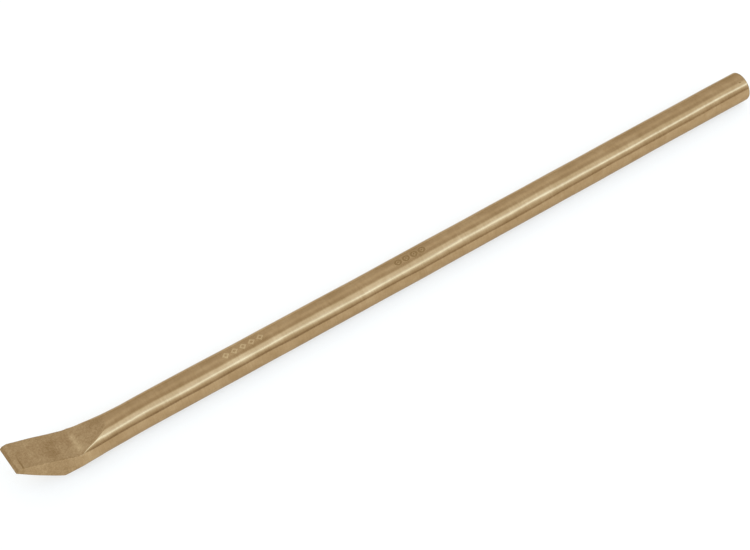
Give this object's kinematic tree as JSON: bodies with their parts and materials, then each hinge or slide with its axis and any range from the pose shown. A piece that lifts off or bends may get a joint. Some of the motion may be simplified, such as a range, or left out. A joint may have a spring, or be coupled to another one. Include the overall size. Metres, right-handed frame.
{
  "type": "pry bar",
  "caption": "Round bronze pry bar with a square-cut end and a short chisel blade turned up at the other end, with a heel under the bend.",
  "frame": {"origin": "middle of the bar's length and width, at the level of the underside of the round shank", "axes": "+X along the bar from the blade tip to the square-cut round end, +Z the side the blade turns up to"},
  "size_m": [0.5, 0.022, 0.0301],
  "materials": {
    "bronze": "ground and belted bronze, satin, with fine marks across the bar"
  },
  "bodies": {
    "root": {"bar": "bronze"}
  },
  "joints": []
}
